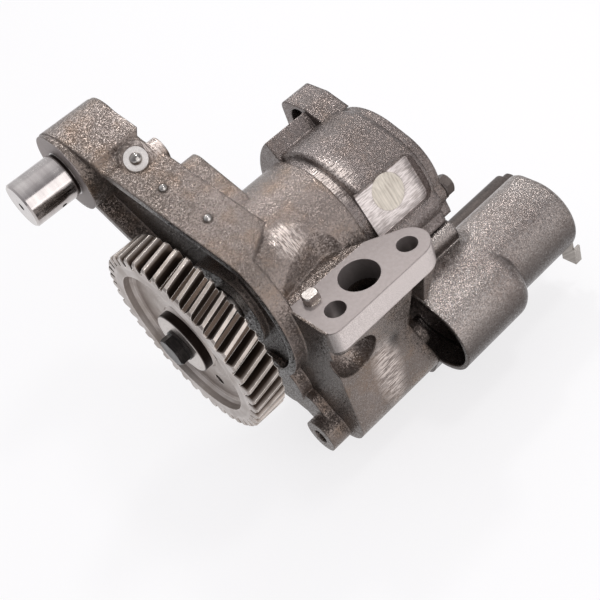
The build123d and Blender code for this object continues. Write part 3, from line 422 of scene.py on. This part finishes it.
# ---- Valves and screws ----
# Springs and snap rings are dark drawn wire. Phosphate leaves the pilot valve and the screws
# a dark, even grey, and the lock plate, bent from zinc plated strip, is paler.
give(turned_steel("drawn spring wire", "#3b3735", "#5f5a57", 0.35, on_shaft),
     "relief_spring", "pilot_spring", "relief_snap_rings")
give(turned_steel("phosphated steel", "#4a4340", "#6a615c", 0.36, on_shaft, metal=0.7),
     "pilot_valve_body", "pilot_valve_cap", "cover_bolts", "housing_bolts", "relief_lug_bolt",
     "relief_foot_bolts")
give(turned_steel("zinc plated steel", "#8e8883", "#b5afa9", 0.3, on_shaft), "valve_lock_plate")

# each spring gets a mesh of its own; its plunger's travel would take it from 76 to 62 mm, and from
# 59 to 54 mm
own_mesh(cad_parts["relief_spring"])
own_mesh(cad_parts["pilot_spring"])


# ---- Floor ----
# Seamless white paper under the pump, which runs on to a far horizon. It glows towards the
# camera, so that it stays white, and still takes the pump's soft shadow.
FLOOR_HALF = 60.0                 # half its width, metres
FLOOR_GAP = 0.0005                # below the pump, so that no faces coincide
GLOW = 0.76                       # share of the glow in what the camera sees

material, tree, shader = finish_named("white paper")
fibre = add(tree, "ShaderNodeTexNoise",
            {"Vector": (add(tree, "ShaderNodeTexCoord"), "Object"), "Scale": 3.0})
white = add(tree, "ShaderNodeMix", {"Factor": fibre, "A": "#fbfafb", "B": "#fefdfe"},
            data_type="RGBA")
tree.links.new(white.outputs[2], shader.inputs["Base Color"])
shader.inputs["Roughness"].default_value = 0.9
shader.inputs["Specular IOR Level"].default_value = 0.0
ray = add(tree, "ShaderNodeLightPath")
seen = add(tree, "ShaderNodeMath", {0: (ray, "Is Camera Ray"), 1: (ray, "Is Glossy Ray")},
           operation="MAXIMUM")
seen = add(tree, "ShaderNodeMath", {0: seen, 1: GLOW}, operation="MULTIPLY")
glow = add(tree, "ShaderNodeEmission", {"Color": "#fdfcfd", "Strength": 1.0})
both = add(tree, "ShaderNodeMixShader", {0: seen, 1: shader, 2: glow})
tree.links.new(both.outputs[0], tree.nodes["Material Output"].inputs["Surface"])
floor_mesh = bpy.data.meshes.new("paper")
corners = ((-1, -1), (1, -1), (1, 1), (-1, 1))
floor_mesh.from_pydata([(x * FLOOR_HALF, y * FLOOR_HALF, cad_low.z - FLOOR_GAP)
                        for x, y in corners], [], [(0, 1, 2, 3)])
floor_mesh.materials.append(material)
floor = bpy.data.objects.new("paper", floor_mesh)
bpy.context.scene.collection.objects.link(floor)


# ---- Studio light and camera ----
# A white sweep rises behind the pump and the room is dim towards the camera, so each round
# form turns from light to dark. A soft panel and four smaller lamps make the grain glint.
world = bpy.data.worlds.new("studio")
bpy.context.scene.world = world
world.use_nodes = True
tree = world.node_tree
TO_SWEEP = (0.2, 0.75, 0.63)      # the way to the brightest part of the sweep
facing = add(tree, "ShaderNodeVectorMath",
             {0: (add(tree, "ShaderNodeTexCoord"), "Generated"), 1: TO_SWEEP},
             operation="DOT_PRODUCT")
share = add(tree, "ShaderNodeMapRange",
            {"Value": (facing, "Value"), "From Min": -0.3, "From Max": 0.9})
room = add(tree, "ShaderNodeMix", {"Factor": share, "A": "#a3a1a6", "B": "#fbfcff"},
           data_type="RGBA")
tree.links.new(room.outputs[2], tree.nodes["Background"].inputs["Color"])
tree.nodes["Background"].inputs["Strength"].default_value = 0.8

centre = (cad_low + cad_high) / 2


def soft_box(name, offset, size, power):
    """A square lamp, size metres wide, of power watts, at centre + offset, facing the pump."""
    lamp = bpy.data.lights.new(name, "AREA")
    lamp.size = size
    lamp.energy = power
    held = bpy.data.objects.new(name, lamp)
    held.location = centre + Vector(offset)
    held.rotation_mode = "QUATERNION"
    held.rotation_quaternion = (-Vector(offset)).to_track_quat("-Z", "Y")
    bpy.context.scene.collection.objects.link(held)


soft_box("overhead panel", (-0.4, 0.5, 2.2), 2.4, 3.0)
soft_box("key light", (0.45, 0.6, 1.15), 0.16, 3.5)
soft_box("back light", (0.4, 1.15, 0.7), 0.3, 1.5)
soft_box("top light", (0.40, -0.28, 1.15), 0.2, 2.4)
soft_box("front light", (0.1, -1.35, 0.45), 1.5, 12.0)

camera = bpy.data.objects.new("camera", bpy.data.cameras.new("camera"))
camera.data.lens = 60.0
camera.data.sensor_width = 36.0
camera.data.clip_start = 0.01
# the matrix's columns are the camera's own right, up and back
axes = Matrix(((0.708, 0.631, -0.316), (-0.643, 0.393, -0.657), (-0.291, 0.668, 0.685)))
camera.rotation_mode = "QUATERNION"
camera.rotation_quaternion = axes.to_quaternion().normalized()
camera.location = (-0.2189, -0.3689, 0.4020)
bpy.context.scene.collection.objects.link(camera)
bpy.context.scene.camera = camera
bpy.context.scene.view_settings.view_transform = "Standard"
